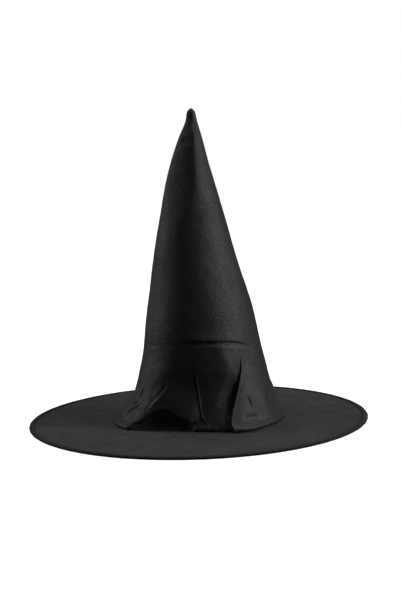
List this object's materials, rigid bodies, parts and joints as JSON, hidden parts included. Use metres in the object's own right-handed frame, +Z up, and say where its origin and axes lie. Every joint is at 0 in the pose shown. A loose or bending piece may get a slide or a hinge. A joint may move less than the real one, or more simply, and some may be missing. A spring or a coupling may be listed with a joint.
{
  "type": "witch hat",
  "caption": "Tall pointed soft cloth hat with a slumped one-panel crown and a wide round wired brim, standing on its brim.",
  "frame": {"origin": "on the surface that the hat stands on, under the middle of the round brim", "axes": "+Z up from the brim towards the crown's point, -Y the wearer's front, +X the wearer's left"},
  "size_m": [0.38, 0.38, 0.3504],
  "materials": {
    "crown_cloth": "stiffened black polyester weave, soft sheen",
    "brim_cloth": "stiffened black polyester weave, soft sheen",
    "binding_tape": "matt black woven bias tape",
    "interlining": "matt non-woven",
    "ribbon": "ribbed black grosgrain",
    "thread": "spun polyester thread",
    "label_satin": "blank white satin ribbon",
    "spring_steel": "drawn wire"
  },
  "bodies": {
    "hat_base": {"crown_lower": "crown_cloth", "crown_bend": "crown_cloth", "brim_top": "brim_cloth", "brim_interlining": "interlining", "brim_under": "brim_cloth", "edge_binding": "binding_tape", "binding_thread": "thread", "brim_wire": "spring_steel", "wire_ferrule": "spring_steel", "head_seam_tape": "ribbon", "sweatband": "ribbon", "sweatband_thread": "thread", "care_label": "label_satin"},
    "crown_top": {"crown_upper": "crown_cloth"}
  },
  "joints": [
    {"name": "crown_nod", "type": "hinge", "parent": "hat_base", "child": "crown_top", "pos_m": [0.006, 0, 0.121], "axis": [1, 0, 0], "range_deg": [-32, 32], "deforming": ["crown_bend"]}
  ]
}
